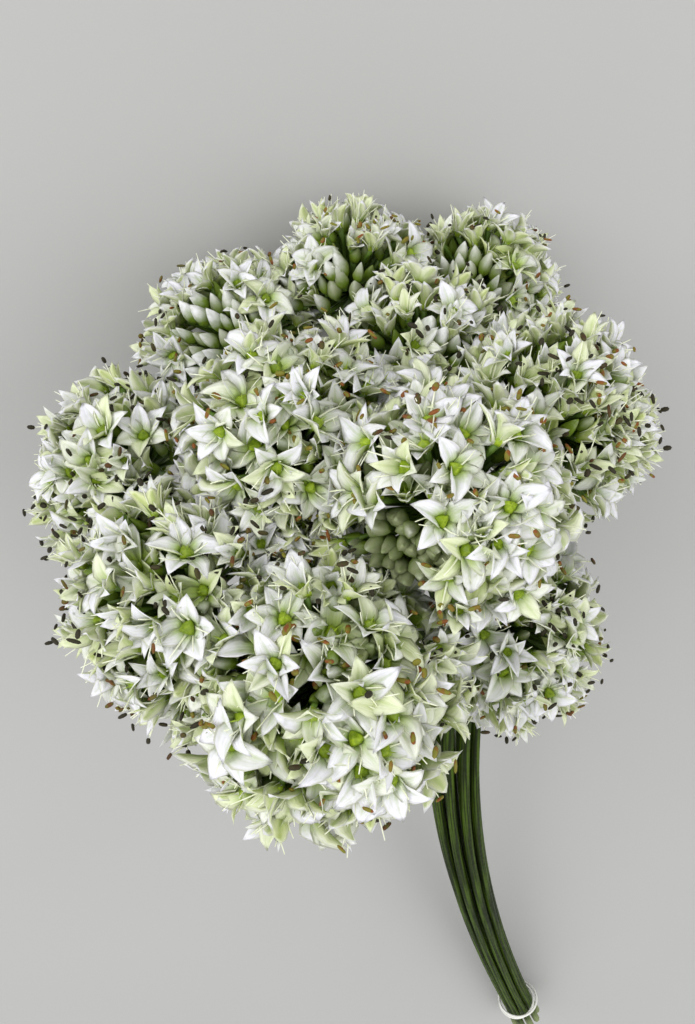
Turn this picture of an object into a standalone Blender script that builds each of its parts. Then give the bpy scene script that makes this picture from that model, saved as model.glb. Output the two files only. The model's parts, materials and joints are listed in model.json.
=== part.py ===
"""A bunch of eleven garlic chive flower heads, tied near the cut ends and lying on a flat surface.

Run with: blender --background --python part.py
Metres, +Z up. The stems run along Y, with the heads towards -Y and the cut ends towards +Y.
Each head is an umbel: a small round receptacle that carries its florets on thin pedicels.
"""

import math

import bmesh
import bpy
from mathutils import Vector

MM = 0.001

# The bunch's axis, in millimetres, before it is laid down by LAY_OFFSET
DOME_CENTRE = Vector((0.0, 0.0, 64.7))
TIE_CENTRE = Vector((0.0, 342.0, 10.8))
NECK_CENTRE = Vector((-14.0, 80.5, 55.5))
TIE_SLOPE = Vector((0.05, -1.0, 0.13))
NECK_SLOPE = Vector((-0.20, -0.93, 0.18))
LAY_OFFSET = Vector((5.1, -154.1, 0.2))

# Stems, in millimetres
STEM_RADIUS = 1.7
STEM_PITCH = 3.75
OUTER_RING_RADIUS = 5.65
OUTER_STEMS = 9
NECK_SPREAD = 1.3
END_SPREAD = 1.15
CUT_BEYOND_TIE = 20.0
CUT_STAGGER = 1.3
BUNDLED_STEPS = 6
FLARED_STEPS = 9
CURVE_PULL = 0.85
GAP = 0.3

# Umbels, in millimetres and degrees
RECEPTACLE_RADIUS = 3.4
SPREAD = 112.0
FLORET_PITCH = 14.0
FLORET_RADIUS = 7.6
SMALLEST_FLORET = 3.2
FLORET_DEPTH = 1.5
SHORTEST_PEDICEL = 0.55
PEDICEL_RADIUS = 0.7
BUD_RADIUS = 1.8
BUD_LENGTH = 6.0
CELL_MARGIN = 0.3
FACING_FROM_NECK = 0.55
GOLDEN_ANGLE = math.pi * (3.0 - math.sqrt(5.0))

# Elastic band, in millimetres
BAND_THICKNESS = 1.1
BAND_SPREAD = 3.2
BAND_TILT = 2.6
BAND_POINTS = 40

# One row for each head: the receptacle's centre, the florets' reach, the stem's place in the bundle, the
# way its closed buds lie from its centre, and how many degrees round it they go.
# Places 0 and 1 are the inner pair, and 2 to 10 go round the outer ring from +X.
HEADS = (
    ((-23.0, -36.5, 21.9), 22.3, 8, (0.45, 0.05, 0.85), 50.0),
    ((-54.8, -24.5, 21.2), 21.5, 6, (0.65, -0.15, 0.75), 55.0),
    ((-52.0, -6.0, 69.0), 25.5, 5, (-0.9, 0.3, 0.2), 62.0),
    ((9.0, -33.5, 23.2), 23.5, 9, (0.2, -0.4, 0.9), 38.0),
    ((43.0, -19.5, 47.5), 24.5, 10, (0.0, 0.0, 0.0), 0.0),
    ((2.5, -22.5, 68.8), 26.0, 0, (0.0, 0.0, 0.0), 0.0),
    ((-21.5, -10.0, 92.0), 26.0, 1, (0.8, 0.25, 0.5), 36.0),
    ((-28.4, 37.6, 79.6), 24.4, 4, (0.0, 0.0, 0.0), 0.0),
    ((36.0, -3.0, 83.0), 27.0, 2, (0.0, 0.0, 0.0), 0.0),
    ((14.0, 13.0, 103.0), 30.0, 3, (0.0, 0.0, 0.0), 0.0),
    ((-31.8, -22.0, 46.2), 22.4, 7, (-0.3, -0.3, 0.9), 30.0),
)


def clear_scene():
    for obj in list(bpy.data.objects):
        bpy.data.objects.remove(obj, do_unlink=True)


def make_collection(name):
    collection = bpy.data.collections.new(name)
    bpy.context.scene.collection.children.link(collection)
    return collection


def make_material(name, colour, roughness):
    material = bpy.data.materials.new(name)
    material.use_nodes = True
    shader = material.node_tree.nodes["Principled BSDF"]
    shader.inputs["Base Color"].default_value = (*colour, 1.0)
    shader.inputs["Roughness"].default_value = roughness
    shader.inputs["Metallic"].default_value = 0.0
    return material


def bundle_frame():
    """The unit directions of the bundle: towards the heads, sideways, and up across the bundle."""
    along = (NECK_CENTRE - TIE_CENTRE).normalized()
    side = Vector((1.0, 0.0, 0.0))
    return along, side, side.cross(along) * -1.0


def facing_of(centre):
    """The way a head looks: away from the neck, where its stem comes from, and out of the dome."""
    from_neck = (centre - NECK_CENTRE).normalized()
    from_dome = (centre - DOME_CENTRE).normalized()
    return (from_neck * FACING_FROM_NECK + from_dome * (1.0 - FACING_FROM_NECK)).normalized()


def side_directions(axis):
    first = axis.orthogonal().normalized()
    return first, axis.cross(first).normalized()


def slot_offset(slot):
    """A stem's place across the bundle at the tie."""
    _, side, up = bundle_frame()
    if slot < 2:
        return side * (STEM_PITCH / 2.0 * (1 - 2 * slot))
    angle = math.tau * (slot - 1.5) / OUTER_STEMS
    return (side * math.cos(angle) + up * math.sin(angle)) * OUTER_RING_RADIUS


def hermite(start, start_slope, end, end_slope, t):
    """The point at t of the cubic that leaves start and reaches end with the given slopes."""
    return (
        start * (2 * t**3 - 3 * t**2 + 1)
        + start_slope * (t**3 - 2 * t**2 + t)
        + end * (3 * t**2 - 2 * t**3)
        + end_slope * (t**3 - t**2)
    )


def stem_route(centre, slot):
    """A stem's centre line, from its cut end through the tie and the neck to just under its receptacle."""
    offset = slot_offset(slot)
    facing = facing_of(centre)
    beyond = CUT_BEYOND_TIE + CUT_STAGGER * (slot % 4)
    cut = TIE_CENTRE - TIE_SLOPE * beyond + offset * END_SPREAD
    tie = TIE_CENTRE + offset
    neck = NECK_CENTRE + offset * NECK_SPREAD
    top = centre - facing * (RECEPTACLE_RADIUS + GAP)
    length = (neck - tie).length
    bundled = [
        hermite(tie, TIE_SLOPE * length, neck, NECK_SLOPE * length, step / BUNDLED_STEPS)
        for step in range(BUNDLED_STEPS)
    ]
    pull = (top - neck).length * CURVE_PULL
    flared = [
        hermite(neck, NECK_SLOPE * pull, top, facing * pull, step / FLARED_STEPS)
        for step in range(FLARED_STEPS + 1)
    ]
    return [cut] + bundled + flared


def make_tube(name, route, radius, cyclic, material, collection):
    curve = bpy.data.curves.new(name, "CURVE")
    curve.dimensions = "3D"
    curve.bevel_depth = radius * MM
    curve.bevel_resolution = 2
    curve.use_fill_caps = not cyclic
    curve.twist_mode = "MINIMUM"
    spline = curve.splines.new("POLY")
    spline.points.add(len(route) - 1)
    for point, place in zip(spline.points, route):
        point.co = (*((place + LAY_OFFSET) * MM), 1.0)
    spline.use_cyclic_u = cyclic
    spline.use_smooth = True
    curve.materials.append(material)
    obj = bpy.data.objects.new(name, curve)
    collection.objects.link(obj)
    return obj


def band_route():
    """The band's closed centre line: it goes twice round the bundle, and its two turns cross at one side."""
    along, side, up = bundle_frame()
    inner = OUTER_RING_RADIUS + STEM_RADIUS + GAP + BAND_THICKNESS / 2.0
    lift = BAND_THICKNESS / 2.0 + GAP
    route = []
    for step in range(BAND_POINTS):
        turn = 2.0 * math.tau * step / BAND_POINTS
        radius = inner + lift * (1.0 + math.sin(turn / 2.0))
        slide = BAND_SPREAD * math.cos(turn / 2.0) + BAND_TILT * math.sin(turn)
        route.append(TIE_CENTRE + (side * math.cos(turn) + up * math.sin(turn)) * radius + along * slide)
    return route


def distance_to_route(point, route):
    """The least distance from a point to the pieces of a centre line."""
    least = math.inf
    for start, end in zip(route, route[1:]):
        run = end - start
        t = min(1.0, max(0.0, (point - start).dot(run) / run.length_squared))
        least = min(least, (point - start - run * t).length)
    return least


def spiral_directions(facing, count):
    """Directions spread evenly over the cap that an umbel fills."""
    first, second = side_directions(facing)
    lowest = math.cos(math.radians(SPREAD))
    for step in range(count):
        height = 1.0 - (step + 0.5) / count * (1.0 - lowest)
        ring = math.sqrt(1.0 - height * height)
        angle = step * GOLDEN_ANGLE
        yield facing * height + (first * math.cos(angle) + second * math.sin(angle)) * ring


def neighbour_planes(index):
    """The planes that share the space between a head and its neighbours: direction out, and distance."""
    centre, reach = Vector(HEADS[index][0]), HEADS[index][1]
    for other, row in enumerate(HEADS):
        away = Vector(row[0]) - centre
        if other != index and away.length < reach + row[1] + 2.0:
            yield away.normalized(), away.length * reach / (reach + row[1]) - CELL_MARGIN


def reach_in_cell(direction, reach, planes):
    """How far out a floret can sit along a direction and stay on its own side of each plane."""
    for away, distance in planes:
        toward = direction.dot(away)
        if toward > 0.05:
            across = FLORET_RADIUS * math.sqrt(1.0 - toward * toward)
            reach = min(reach, (distance - across) / toward)
    return reach


def clears_stems(centre, direction, length, radius, routes, own):
    """Whether a floret and its pedicel pass every stem, its own included."""
    for index, route in enumerate(routes):
        if distance_to_route(centre + direction * length, route) < radius + STEM_RADIUS + 2 * GAP:
            return False
        for part in (0.45, 0.6, 0.8) if index == own else (0.2, 0.45, 0.7, 0.9):
            needed = STEM_RADIUS + PEDICEL_RADIUS + 2 * GAP
            if distance_to_route(centre + direction * length * part, route) < needed:
                return False
    return True


def room_beside(florets, index):
    """How wide a floret can open before it touches another floret or its pedicel."""
    direction, length = florets[index]
    place = direction * length
    room = FLORET_RADIUS
    for other, (other_direction, other_length) in enumerate(florets):
        if other == index:
            continue
        room = min(room, 0.485 * (place - other_direction * other_length).length)
        pedicel = [other_direction * RECEPTACLE_RADIUS, other_direction * other_length]
        beside = distance_to_route(place, pedicel)
        room = min(room, beside - PEDICEL_RADIUS - GAP)
    return room


def florets_of(index, routes):
    """Each floret of a head as its direction, length, open radius, and whether it is a bud."""
    centre, reach, _, bud_side, bud_angle = HEADS[index]
    centre = Vector(centre)
    facing = facing_of(centre)
    cap_area = math.tau * reach * reach * (1.0 - math.cos(math.radians(SPREAD)))
    planes = list(neighbour_planes(index))
    kept = []
    for direction in spiral_directions(facing, round(cap_area / FLORET_PITCH**2)):
        length = reach_in_cell(direction, reach - FLORET_DEPTH, planes)
        if length < SHORTEST_PEDICEL * reach:
            continue
        if clears_stems(centre, direction, length, FLORET_RADIUS, routes, index):
            kept.append((direction, length))
    florets = []
    for place, (direction, length) in enumerate(kept):
        radius = room_beside(kept, place)
        is_bud = bud_angle > 0.0 and direction.angle(Vector(bud_side)) < math.radians(bud_angle)
        florets.append((direction, length, radius, is_bud or radius < SMALLEST_FLORET))
    return florets


def add_ring(bm, middle, direction, radius, count, turn=0.0):
    first, second = side_directions(direction)
    angles = [math.tau * step / count + turn for step in range(count)]
    return [bm.verts.new(middle + (first * math.cos(a) + second * math.sin(a)) * radius) for a in angles]


def join_rings(bm, inner, outer):
    """Joins a ring of n points to one of n, 2n or 4n points, whose first points are level."""
    ratio = len(outer) // len(inner)
    if ratio == 1:
        for step, point in enumerate(inner):
            after = (step + 1) % len(inner)
            bm.faces.new((point, inner[after], outer[after], outer[step]))
        return
    half = ratio // 2
    for step, point in enumerate(inner):
        for turn in range(step * ratio - half, step * ratio + half):
            bm.faces.new((point, outer[turn % len(outer)], outer[(turn + 1) % len(outer)]))
        after = (step + 1) % len(inner)
        bm.faces.new((point, outer[(step * ratio + half) % len(outer)], inner[after]))


def add_bud(bm, neck, direction, length):
    middle = add_ring(bm, direction * (length - BUD_LENGTH * 0.2), direction, BUD_RADIUS, 6)
    join_rings(bm, neck, middle)
    tip = bm.verts.new(direction * (length + BUD_LENGTH * 0.4))
    for step in range(6):
        bm.faces.new((middle[step], middle[(step + 1) % 6], tip))


def add_star(bm, neck, direction, length, radius):
    """Six pointed tepals, joined at their bases and raised a little at their tips."""
    tips = add_ring(bm, direction * (length + radius * 0.12), direction, radius, 6)
    valleys = add_ring(bm, direction * (length - radius * 0.05), direction, radius * 0.42, 6, math.tau / 12)
    rim = [point for pair in zip(tips, valleys) for point in pair]
    join_rings(bm, neck, rim)
    heart = bm.verts.new(direction * length)
    for step in range(12):
        bm.faces.new((rim[step], rim[(step + 1) % 12], heart))


def make_umbel(name, index, routes, material, collection):
    """The receptacle is the hull of the pedicels' feet, and each foot's face gives way to its pedicel."""
    centre = Vector(HEADS[index][0])
    facing = facing_of(centre)
    bm = bmesh.new()
    feet = []
    florets = florets_of(index, routes)
    for direction, _, _, _ in florets:
        feet.append(add_ring(bm, direction * RECEPTACLE_RADIUS, direction, PEDICEL_RADIUS, 3))
    add_ring(bm, facing * RECEPTACLE_RADIUS * -0.75, facing, RECEPTACLE_RADIUS * 0.68, 6)
    bm.verts.new(facing * -RECEPTACLE_RADIUS)
    bmesh.ops.convex_hull(bm, input=bm.verts[:])
    for foot, (direction, length, radius, is_bud) in zip(feet, florets):
        under = [face for face in foot[0].link_faces if set(face.verts) == set(foot)]
        bmesh.ops.delete(bm, geom=under, context="FACES_ONLY")
        below = BUD_LENGTH * 0.6 if is_bud else FLORET_DEPTH
        neck = add_ring(bm, direction * (length - below), direction, PEDICEL_RADIUS, 3)
        join_rings(bm, foot, neck)
        if is_bud:
            add_bud(bm, neck, direction, length)
        else:
            add_star(bm, neck, direction, length, radius)
    bmesh.ops.triangulate(bm, faces=bm.faces[:])
    bmesh.ops.recalc_face_normals(bm, faces=bm.faces[:])
    mesh = bpy.data.meshes.new(name)
    bmesh.ops.scale(bm, vec=(MM, MM, MM), verts=bm.verts[:])
    bm.to_mesh(mesh)
    bm.free()
    mesh.materials.append(material)
    obj = bpy.data.objects.new(name, mesh)
    obj.location = (centre + LAY_OFFSET) * MM
    collection.objects.link(obj)
    return obj


def main():
    clear_scene()
    bunch = make_collection("garlic_chive_bunch")
    stem_green = make_material("stem_green", (0.09, 0.16, 0.04), 0.5)
    petal_white = make_material("petal_white", (0.78, 0.82, 0.74), 0.6)
    band_white = make_material("band_white", (0.85, 0.85, 0.82), 0.7)
    routes = [stem_route(Vector(row[0]), row[2]) for row in HEADS]
    for index, route in enumerate(routes):
        number = f"{index + 1:02d}"
        make_tube("stem_" + number, route, STEM_RADIUS, False, stem_green, bunch)
        make_umbel("umbel_" + number, index, routes, petal_white, bunch)
    make_tube("elastic_band", band_route(), BAND_THICKNESS / 2.0, True, band_white, bunch)


if __name__ == "__main__":
    main()
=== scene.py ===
"""The looks of a tied bunch of garlic chive flower heads, lying on a pale floor.

Each head is an umbel: a small receptacle with many thin pedicels, each with a six-tepalled floret or a bud.
Lengths are in millimetres unless a property says otherwise, and angles in degrees.
"""

import json
import math
import random
from typing import NamedTuple

import bmesh
import bpy
from mathutils import Matrix, Vector

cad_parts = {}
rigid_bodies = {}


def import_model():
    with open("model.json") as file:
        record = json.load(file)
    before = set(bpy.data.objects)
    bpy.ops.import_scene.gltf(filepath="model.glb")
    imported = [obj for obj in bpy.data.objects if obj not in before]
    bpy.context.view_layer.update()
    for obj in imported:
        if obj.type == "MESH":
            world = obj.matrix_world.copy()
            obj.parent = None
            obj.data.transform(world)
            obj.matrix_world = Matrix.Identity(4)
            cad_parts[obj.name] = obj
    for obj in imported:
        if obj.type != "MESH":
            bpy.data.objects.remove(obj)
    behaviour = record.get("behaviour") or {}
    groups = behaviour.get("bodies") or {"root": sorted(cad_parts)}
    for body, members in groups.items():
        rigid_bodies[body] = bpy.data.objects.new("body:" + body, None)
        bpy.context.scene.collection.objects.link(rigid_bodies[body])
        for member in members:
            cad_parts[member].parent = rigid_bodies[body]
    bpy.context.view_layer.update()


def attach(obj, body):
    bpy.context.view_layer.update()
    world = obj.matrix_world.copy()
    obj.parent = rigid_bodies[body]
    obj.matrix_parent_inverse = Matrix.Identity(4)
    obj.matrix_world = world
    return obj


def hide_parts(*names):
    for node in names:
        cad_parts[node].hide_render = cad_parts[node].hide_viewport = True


bl_info = {
    "name": "Garlic Chive Bunch",
    "version": (1, 0, 0),
    "blender": (4, 5, 0),
    "location": "View3D > Sidebar > Chive Bunch",
    "description": "Dresses a tied bunch of garlic chive umbels with tepals, stamens, buds and stems",
    "category": "Object",
}

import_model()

MM = 0.001
GOLDEN_ANGLE = math.pi * (3.0 - math.sqrt(5.0))

# The bunch's plan, as the solids have it
DOME_CENTRE = Vector((0.0, 0.0, 64.7))
TIE_CENTRE = Vector((0.0, 342.0, 10.8))
NECK_CENTRE = Vector((-14.0, 80.5, 55.5))
TIE_SLOPE = Vector((0.05, -1.0, 0.13))
NECK_SLOPE = Vector((-0.20, -0.93, 0.18))
LAY_OFFSET = Vector((5.1, -154.1, 0.2))
STEM_RADIUS = 1.7
STEM_PITCH = 3.75
OUTER_RING_RADIUS = 5.65
INNER_STEMS = 2
OUTER_STEMS = 9
NECK_SPREAD = 1.3
END_SPREAD = 1.15
CUT_BEYOND_TIE = 20.0
CUT_STAGGER = 1.3
BUNDLED_STEPS = 24
FLARED_STEPS = 30
CURVE_PULL = 0.85
GAP = 0.3
RECEPTACLE_RADIUS = 3.4
# How far round from its facing an umbel's florets go
SPREAD = 116.0
# How much of a head's facing is away from the neck; the rest is out of the dome.
FACING_FROM_NECK = 0.55
BAND_THICKNESS = 1.1
BAND_SPREAD = 3.2
BAND_TILT = 2.6
BAND_STEPS = 120


class Head(NamedTuple):
    """One head of the bunch, and what its florets are like."""

    centre: Vector
    reach: float
    # Its stem's place in the bundle
    slot: int
    # Buds fill the part of it within bud_angle of bud_side, with their feet bud_inset under its surface.
    bud_side: Vector
    bud_angle: float
    # The share of its florets that are only half open
    half_open: float
    # The age of its anthers, from 0 (fresh and pale) through 0.5 (rust) to 1 (dried, nearly black)
    ripeness: float
    # The share of the buds in its bud part that have begun to open
    opening: float
    bud_inset: float


NO_SIDE = Vector((0.0, 0.0, 0.0))
HEADS = (
    Head(Vector((-23.0, -36.5, 21.9)), 22.3, 8, Vector((0.45, 0.05, 0.85)), 50.0, 0.55, 0.45, 0.12, 6.5),
    Head(Vector((-54.8, -24.5, 21.2)), 21.5, 6, Vector((0.65, -0.15, 0.75)), 55.0, 0.60, 0.60, 0.14, 6.5),
    Head(Vector((-52.0, -6.0, 69.0)), 25.5, 5, Vector((-0.9, 0.3, 0.2)), 62.0, 0.85, 0.68, 0.55, 7.5),
    Head(Vector((9.0, -33.5, 23.2)), 23.5, 9, Vector((0.2, -0.4, 0.9)), 38.0, 0.50, 0.75, 0.14, 6.5),
    Head(Vector((43.0, -19.5, 47.5)), 24.5, 10, NO_SIDE, 0.0, 0.62, 0.95, 0.0, 6.5),
    Head(Vector((2.5, -22.5, 68.8)), 26.0, 0, NO_SIDE, 0.0, 0.35, 0.45, 0.0, 6.5),
    Head(Vector((-21.5, -10.0, 92.0)), 26.0, 1, Vector((0.70, 0.03, 0.71)), 34.0, 0.35, 0.45, 0.0, 11.0),
    Head(Vector((-28.4, 37.6, 79.6)), 24.4, 4, NO_SIDE, 0.0, 0.60, 0.80, 0.0, 6.5),
    Head(Vector((36.0, -3.0, 83.0)), 27.0, 2, NO_SIDE, 0.0, 0.55, 0.82, 0.0, 6.5),
    Head(Vector((14.0, 13.0, 103.0)), 30.0, 3, Vector((-0.72, -0.68, 0.04)), 24.0, 0.28, 0.45, 0.1, 11.0),
    Head(Vector((-31.8, -22.0, 46.2)), 22.4, 7, Vector((-0.3, -0.3, 0.9)), 30.0, 0.80, 0.80, 0.14, 6.5),
)
# Heads whose surfaces come this near to each other share a plane that neither crosses.
NEIGHBOUR_GAP = 2.0
# The least a direction points at such a plane, as a cosine, for the plane to shorten it
LEAST_TOWARD = 0.05
# How far a floret's foot stays above the floor, and the height below which a petal bends along the floor
FLOOR_MARGIN = 3.0
SOFT_HEIGHT = 2.0


class Room(NamedTuple):
    """How florets of one sort stand in a head."""

    # How far under the head's surface their feet stand, and the least and most that each has of that reach
    inset: float
    shortest: float
    longest: float
    # The room each needs beside a plane, and how far it may lean
    half_width: float
    lean: float
    # One whose reach a plane cuts to less than this share of the head's is left out.
    least: float


OPEN_ROOM = Room(4.0, 0.80, 1.06, 2.8, 40.0, 0.6)
BUD_ROOM = Room(6.5, 0.88, 1.08, 1.6, 14.0, 0.5)
YOUNG_ROOM = Room(7.5, 0.82, 1.03, 1.2, 22.0, 0.48)
# How far open florets and buds stray from an even spread, and the turn between the two spirals, in radians
OPEN_WANDER = 4.5
BUD_WANDER = 4.0
BUD_PHASE = 1.7
# How much each kind turns from straight out of its head towards the head's own facing
UPRIGHT = {"open": 0.12, "half": 0.45, "bud": 0.9, "young": 0.7}
# The share of the bud places among open florets that hold a young green bud, and such a bud's size
YOUNG_BUDS = 0.36
YOUNG_SIZE = 0.75
# A head of this reach carries florets of the plain size, and larger heads carry larger ones.
PLAIN_REACH = 24.0
# The least and most of a floret's or bud's own size, as a share of its head's
SMALLEST, LARGEST = 0.9, 1.1
# The least tone of a half-open floret, which is greener than an open one
LEAST_HALF_OPEN_TONE = 0.4
# How far the ages of one head's anthers spread
AGE_SPREAD = 0.5
# The most that a bud's tone can be, and how much greener a young bud's is
BUD_TONES = 0.75
YOUNG_TONE = 0.6

# The slope of each shape of floret's tepals, above level, at the foot, the middle and the tip
OPEN_BENDS = ((45, 16, 2), (38, 24, 14), (52, 10, -12), (42, 32, 22), (56, 22, -4), (48, 38, 6), (34, 8, -18))
HALF_OPEN_BENDS = ((72, 52, 34), (78, 66, 58), (66, 44, 20), (82, 74, 62), (70, 60, 26))
BENDS = OPEN_BENDS + HALF_OPEN_BENDS
# The slope of the filaments of each of these shapes
STAMEN_ANGLES = (54.0, 46.0, 58.0, 50.0, 62.0, 56.0, 44.0, 72.0, 80.0, 66.0, 84.0, 74.0)
# How many tepals and stamens a floret has of each
FLORET_PARTS = 6
TEPAL_THICKNESS = 0.16
TEPAL_ROWS = 5
TEPAL_COLUMNS = (-1.0, -0.5, 0.0, 0.5, 1.0)
# How far a tepal's foot stands from its floret's axis
TEPAL_START = 0.8
# How far a tepal's edge waves up and down, as a share of its half width
UNEVEN_EDGE = 0.16
# The outer three tepals' width as a share of the inner three's
OUTER_WHORL_WIDTH = 0.88
# The least and most by which tepals differ: shares of their length and width, and degrees of slope and twist
TEPAL_LENGTHS = (0.84, 1.10)
TEPAL_WIDTHS = (0.86, 1.10)
TEPAL_SWAY = (-13, 11)
TEPAL_TIP_SWAY = (-32, 24)
TEPAL_TWIST = (-34, 34)
# How far a tepal's sides rise, as a share of its half width, and the share of tepals that are folded deeper
TEPAL_CHANNEL = (0.25, 0.60)
FOLDED_CHANNEL = (0.9, 1.3)
FOLDED_TEPALS = 0.2
# How far a tepal or stamen strays from its sixth of the turn, in radians
STRAY = 0.16
# A half-open floret's tepals are narrower, from being folded, and its stamens reach further out.
HALF_OPEN_WIDTH = 0.84
HALF_OPEN_STAMENS = 1.16
# Filaments at least this steep belong to half-open florets.
NEARLY_UPRIGHT = 66.0
# Where a filament starts in its floret, and the least and most by which filaments differ: shares of their
# length, degrees of slope, and how far each bows out, sideways and up, as a share of its length
STAMEN_START = Vector((0.75, 0.0, 0.1))
STAMEN_LENGTHS = (0.85, 1.15)
STAMEN_SWAY = (-18, 10)
STAMEN_BOWS = ((-0.1, 0.3), (-0.5, 0.5), (-0.2, 0.25))
# The places along a filament that its line goes through, and half its thickness at each
FILAMENT_POINTS = (0.0, 0.35, 0.7, 1.0)
FILAMENT_RADII = (0.44, 0.22, 0.15, 0.10)
# The share of florets that have shed all their anthers, and of anthers that have dropped from the others
ANTHERLESS = 0.35
DROPPED_ANTHERS = 0.5
# How far an anther lies below its filament's slope, in radians, and how far it may lean from there
ANTHER_DROP = 1.0
ANTHER_LEAN = 60.0
# The least and most of half an anther's length and width, as shares of the anther length
ANTHER_HEIGHTS = (0.32, 0.60)
ANTHER_WIDTHS = (0.15, 0.22)
BUD_SHAPES = 7
# The least and most by which bud shapes differ, as shares of the bud's width, length and fullness
BUD_WIDTHS = (0.78, 1.12)
BUD_LENGTHS = (0.82, 1.14)
BUD_FULLNESS = (0.85, 1.05)
# How far each shape of pedicel bows sideways
PEDICEL_BOWS = (0.4, 0.9, -0.7, 0.1)
PEDICEL_STEPS = 4
PEDICEL_SIDES = 4
# How much wider a pedicel is under its floret, and how deep its foot stands in the receptacle
PEDICEL_TOP = 1.5
PEDICEL_ROOT = 0.5
STEM_RIDGES = 7
STEM_SIDES = 21
BAND_SIDES = 14

# From a tepal's midrib to its edge the veins' wave turns this far, in radians, which leaves about ten veins.
VEIN_TURN = 30.0
# Light passes this far into petal tissue, and a little less far where it is blue.
TISSUE_DEPTH = {"Subsurface Radius": (1.0, 1.0, 0.8), "Subsurface Scale": 1.0 * MM}
STREAK_LENGTH = 40.0
# How many streaks of a stem's skin fit in its radius
STREAKS_ACROSS = 2.2
# The elastic's threads are finer than this, and drawn coarser so that they show.
THREAD_PITCH = 0.5

# The settings of nodes that move a value softly between two ranges, and of those that mix colours
SMOOTH = {"interpolation_type": "SMOOTHSTEP"}
COLOUR = {"data_type": "RGBA"}

# Each of these starts the random draws of one kind of shape.
HEAD_SEED = 100
WHORL_SEED = 7
STAMEN_SEED = 40
BUD_SEED = 60

# What each spot holds: how the small shape on it is placed, and a tone for the shape's material
PLACING_LAYERS = (("axis", "FLOAT_VECTOR"), ("spin", "FLOAT"), ("size", "FLOAT_VECTOR"), ("shape", "INT"))
SPOT_LAYERS = PLACING_LAYERS + (("tone", "FLOAT"),)

# The camera looks down on the heads, rolled so that the stems leave towards the lower right.
CAMERA_FROM_DOME = Vector((-2.6, -104.1, 170.8))
CAMERA_ELEVATION = 58.58
CAMERA_ROLL = 160.25
CAMERA_LENS = 29.18
# Where each lamp stands from the heads, in metres, its power in watts and its width in metres
LAMPS = {
    "key_lamp": (Vector((0.80, -0.84, 0.70)), 9.0, 0.9),
    "fill_lamp": (Vector((-0.8, 0.2, 1.1)), 4.5, 1.0),
}
WORLD_STRENGTH = 1.03
# Half the floor's width, in metres
FLOOR_SIZE = 4.0


# ---------------------------------------------------------------- sizes and colours


def linear(hex_colour):
    """An sRGB hex colour as linear red, green, blue and alpha."""
    values = [int(hex_colour[i : i + 2], 16) / 255.0 for i in (1, 3, 5)]
    return tuple(v / 12.92 if v <= 0.04045 else ((v + 0.055) / 1.055) ** 2.4 for v in values) + (1.0,)


def colour_property(name, hex_colour, description):
    return bpy.props.FloatVectorProperty(
        name=name,
        description=description,
        subtype="COLOR",
        size=4,
        min=0.0,
        max=1.0,
        default=linear(hex_colour),
    )


def size_property(name, metres, description):
    return bpy.props.FloatProperty(
        name=name, description=description, default=metres, min=0.0001, max=0.1, precision=4, unit="LENGTH"
    )


class ChiveFloretSizes(bpy.types.PropertyGroup):
    tepal_length: size_property("Tepal length", 0.0075, "From the ovary's foot to a tepal's tip")
    tepal_width: size_property("Tepal width", 0.0047, "Across the widest part of a tepal")
    filament_length: size_property("Filament length", 0.0050, "From a tepal's foot to the anther")
    anther_length: size_property("Anther length", 0.0024, "Length of an anther")
    ovary_radius: size_property("Ovary radius", 0.0013, "Half the width of the three-lobed ovary")
    bud_length: size_property("Bud length", 0.0072, "Length of a closed bud")
    bud_radius: size_property("Bud radius", 0.0019, "Half the width of a closed bud")
    pedicel_radius: size_property("Pedicel radius", 0.00055, "Half the thickness of a floret's stalk")
    floret_pitch: size_property("Floret spacing", 0.0076, "Distance between neighbouring open florets")
    bud_pitch: size_property("Bud spacing", 0.0047, "Distance between neighbouring buds in a closed part")


class ChiveStemSizes(bpy.types.PropertyGroup):
    stem_radius: size_property("Stem radius", STEM_RADIUS * MM, "Half the thickness of a stem")
    ridge_height: size_property("Ridge height", 0.00010, "How far the ridges along a stem stand out")
    stem_step: size_property("Stem step", 0.005, "Length of a stem between two rings of points")
    band_radius: size_property("Band radius", BAND_THICKNESS / 2.0 * MM, "Half the thickness of the elastic")
    band_step: size_property("Band step", 0.001, "Length of the elastic between two rings of points")


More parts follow.
